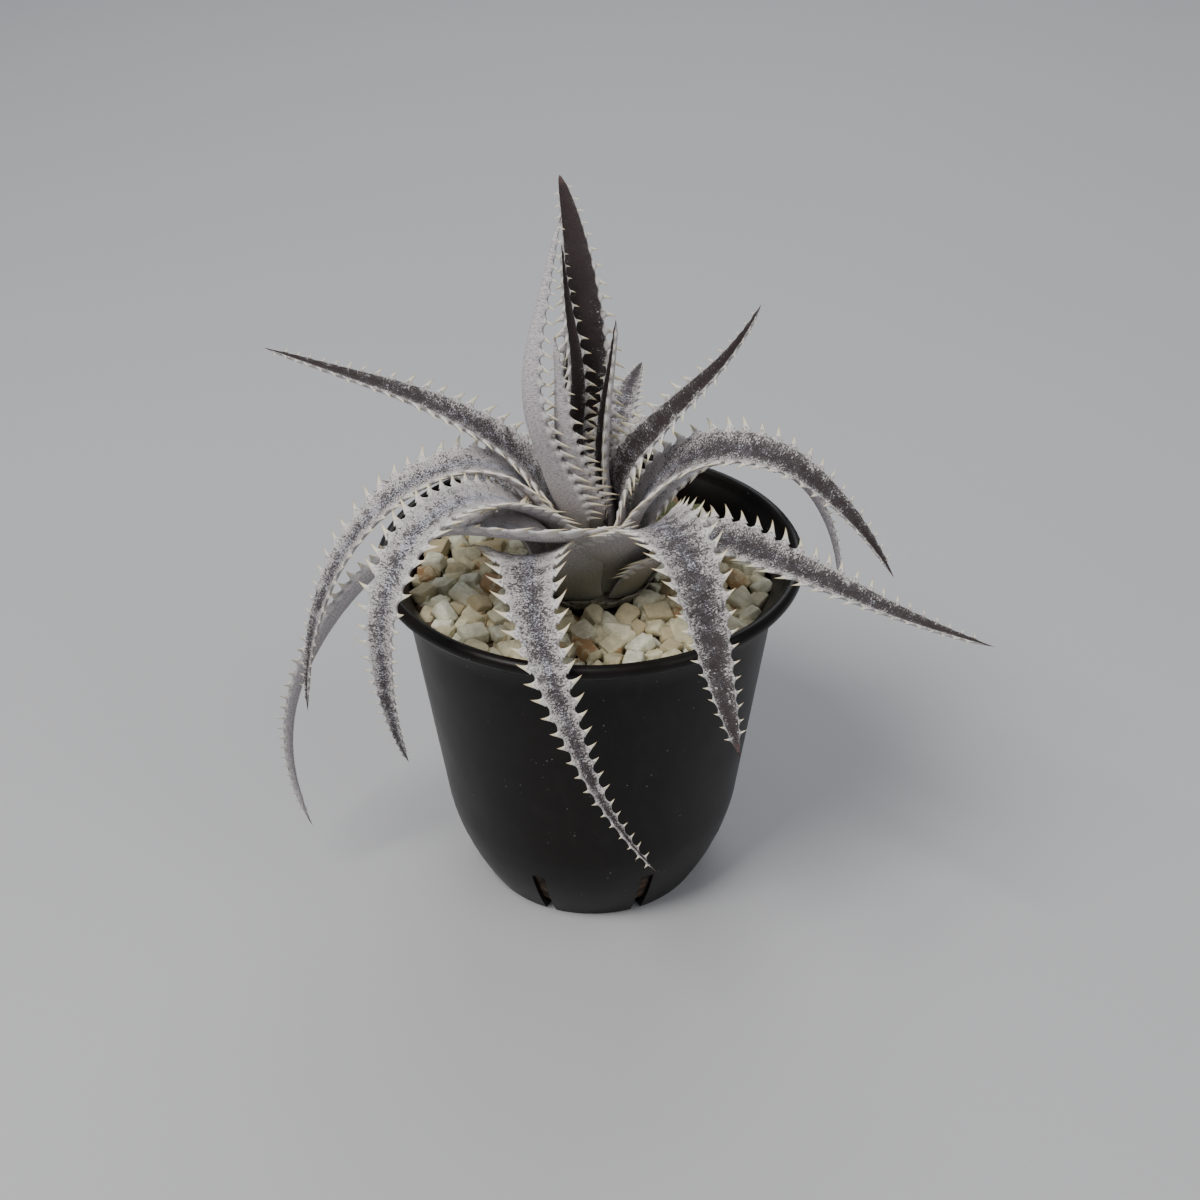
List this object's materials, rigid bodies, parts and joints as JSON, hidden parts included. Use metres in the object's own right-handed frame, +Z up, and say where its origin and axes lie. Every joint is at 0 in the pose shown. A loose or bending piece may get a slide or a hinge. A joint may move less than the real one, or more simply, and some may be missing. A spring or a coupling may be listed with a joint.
{
  "type": "potted dyckia bromeliad",
  "caption": "Spiny silver-leaved dyckia bromeliad, an arching rosette top-dressed with pale gravel in a round black plastic nursery pot.",
  "frame": {"origin": "centre of the pot's flat underside", "axes": "+Z up, along the pot's axis; -Y towards the side where the longest leaves hang over the rim"},
  "size_m": [0.166, 0.17, 0.1827],
  "materials": {
    "pot_plastic": "satin black moulded plastic with a faint grain and some dust",
    "potting_mix": "damp dark bark and grit",
    "gravel": "matt cream stones with rusty stains",
    "dry_sheath": "dry papery leaf bases, brown-grey",
    "leaf": "silver-lilac scurf over dark purple-brown, ivory margins and spines"
  },
  "bodies": {
    "root": {"pot": "pot_plastic", "potting_mix": "potting_mix", "gravel": "gravel", "stem": "dry_sheath", "leaf_01": "leaf", "leaf_02": "leaf", "leaf_03": "leaf", "leaf_04": "leaf", "leaf_05": "leaf", "leaf_06": "leaf", "leaf_07": "leaf", "leaf_08": "leaf", "leaf_09": "leaf", "leaf_10": "leaf", "leaf_11": "leaf", "leaf_12": "leaf", "leaf_13": "leaf", "leaf_14": "leaf", "leaf_15": "leaf", "leaf_16": "leaf", "leaf_17": "leaf", "leaf_18": "leaf", "leaf_19": "leaf"}
  },
  "joints": []
}
